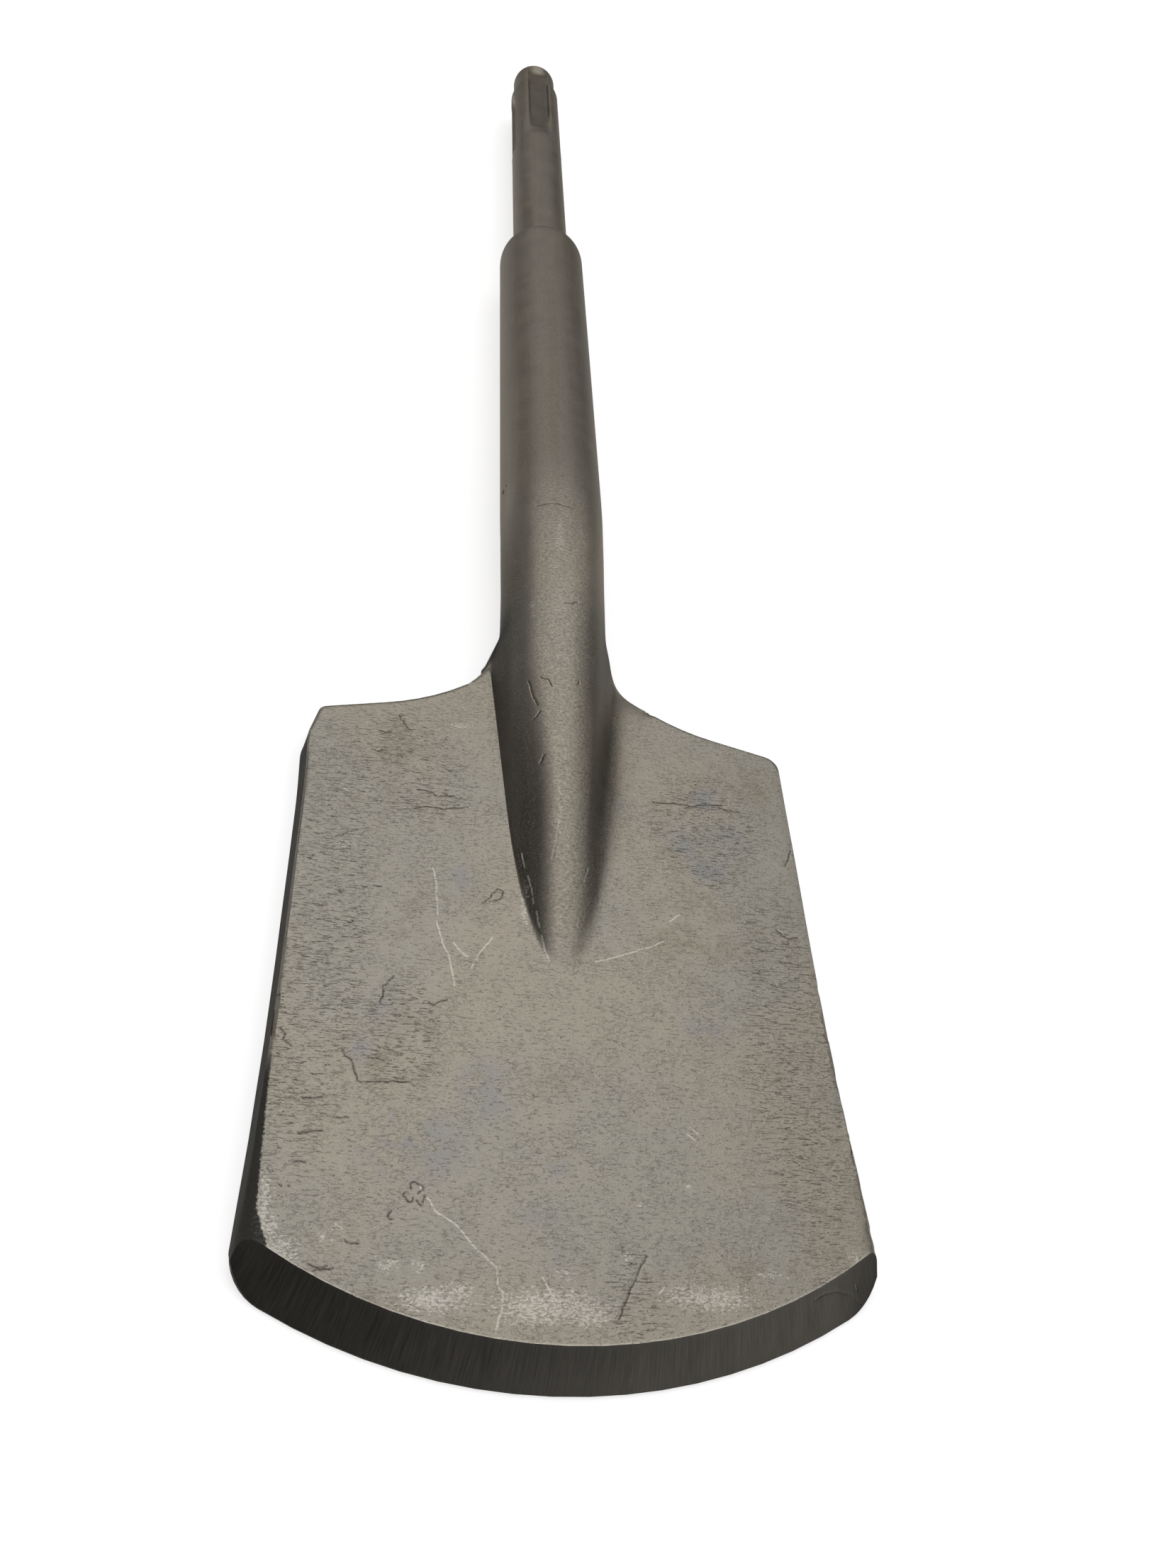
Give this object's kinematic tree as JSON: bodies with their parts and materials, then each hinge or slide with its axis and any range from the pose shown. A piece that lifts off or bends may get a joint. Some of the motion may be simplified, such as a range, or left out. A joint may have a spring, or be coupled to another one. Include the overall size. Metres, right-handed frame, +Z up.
{
  "type": "spade chisel",
  "caption": "One-piece forged spade chisel: wide flat blade with an arched bevelled edge, ridge running into a round body, and a grooved round shank for a demolition hammer.",
  "frame": {"origin": "under the middle of the overall length, on the plane of the flat back the tool lies on", "axes": "+Y along the tool towards the end of the shank, +X across the blade, +Z up out of the blade's ridged face"},
  "size_m": [0.1155, 0.48, 0.027],
  "materials": {
    "forged_steel": "bare forged steel, warm grey, satin, with fine scale and a ground bevel"
  },
  "bodies": {
    "root": {"forged_chisel": "forged_steel"}
  },
  "joints": []
}
